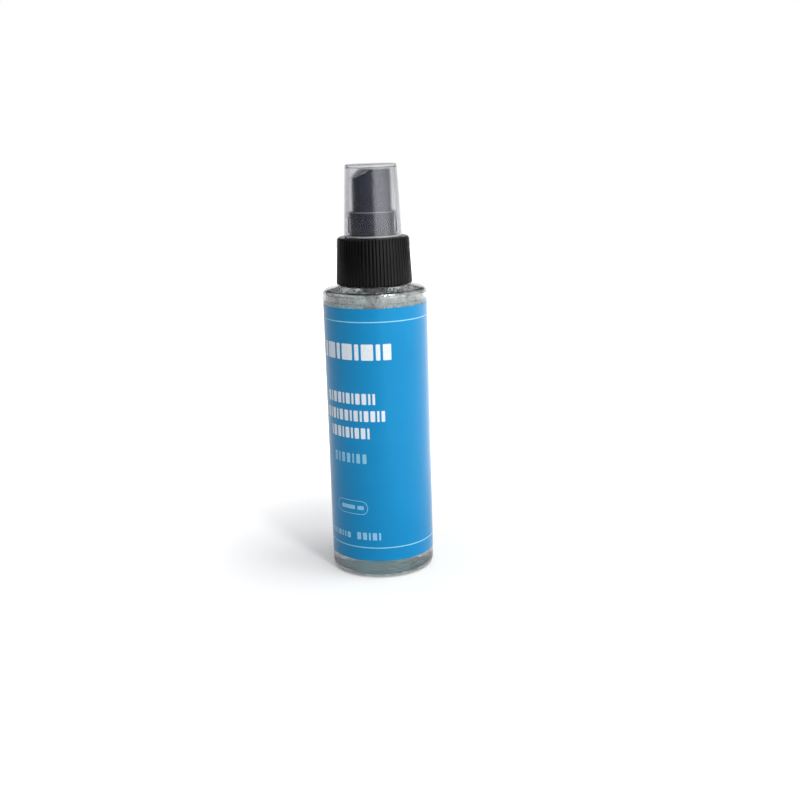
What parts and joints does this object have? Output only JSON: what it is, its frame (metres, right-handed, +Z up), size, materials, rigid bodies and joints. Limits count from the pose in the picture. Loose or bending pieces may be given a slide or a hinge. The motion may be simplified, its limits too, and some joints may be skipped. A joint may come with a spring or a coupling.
{
  "type": "lens cleaning spray bottle",
  "caption": "Clear cylindrical cleaning-spray bottle with a wrap label, ribbed screw closure, fine-mist finger pump and translucent overcap.",
  "frame": {"origin": "centre of the bottle's base, on the surface it stands on", "axes": "+Z up along the bottle's axis; -Y through the middle of the label; the nozzle points 38 degrees clockwise of -Y seen from above"},
  "size_m": [0.0382, 0.0382, 0.1497],
  "materials": {
    "clear_bottle": "gloss",
    "label_film": "satin",
    "label_ink": "satin",
    "cleaning_fluid": "polished",
    "black_closure": "satin",
    "black_pump": "gloss",
    "black_actuator": "gloss",
    "black_rubber": "matte",
    "white_gasket": "matte",
    "natural_housing": "satin",
    "natural_tube": "satin",
    "natural_stem": "satin",
    "natural_piston": "satin",
    "steel_ball": "polished",
    "spring_wire": "satin",
    "clear_overcap": "gloss"
  },
  "bodies": {
    "bottle": {"bottle": "clear_bottle", "label": "label_film", "cleaning_fluid": "cleaning_fluid"},
    "pump": {"pump_housing": "natural_housing", "gasket": "white_gasket", "collar": "black_pump", "stem_seal": "black_rubber", "dip_tube": "natural_tube"},
    "closure": {"closure": "black_closure"},
    "plunger": {"stem": "natural_stem", "piston_rod": "natural_stem", "return_spring": "spring_wire"},
    "piston": {"piston": "natural_piston"},
    "actuator": {"actuator": "black_actuator", "nozzle_insert": "black_actuator"},
    "inlet_ball": {"inlet_ball": "steel_ball"},
    "overcap": {"overcap": "clear_overcap"}
  },
  "joints": [
    {"name": "closure_turn", "type": "hinge", "parent": "pump", "child": "closure", "pos_m": [0, 0, 0.1155], "axis": [0, 0, 1], "range_deg": [0, 540]},
    {"name": "pump_rise", "type": "slide", "parent": "bottle", "child": "pump", "axis": [0, 0, 1], "range_m": [0, 0.00477]},
    {"name": "actuator_press", "type": "slide", "parent": "pump", "child": "plunger", "axis": [0, 0, -1], "range_m": [0, 0.0045], "stiffness_N_per_m": 800, "springref_m": -0.006, "deforming": ["return_spring"]},
    {"name": "piston_slip", "type": "slide", "parent": "plunger", "child": "piston", "axis": [0, 0, 1], "range_m": [0, 0.0006]},
    {"name": "actuator_swivel", "type": "hinge", "parent": "plunger", "child": "actuator", "pos_m": [0, 0, 0.139], "axis": [0, 0, 1], "continuous": true},
    {"name": "ball_lift", "type": "slide", "parent": "pump", "child": "inlet_ball", "axis": [0, 0, 1], "range_m": [0, 0.0006]},
    {"name": "overcap_lift", "type": "slide", "parent": "pump", "child": "overcap", "axis": [0, 0, 1], "range_m": [0, 0.035]}
  ],
  "couplings": [
    {"joint": "pump_rise", "follows": "closure_turn", "m_per_rad": 0.00050532}
  ]
}
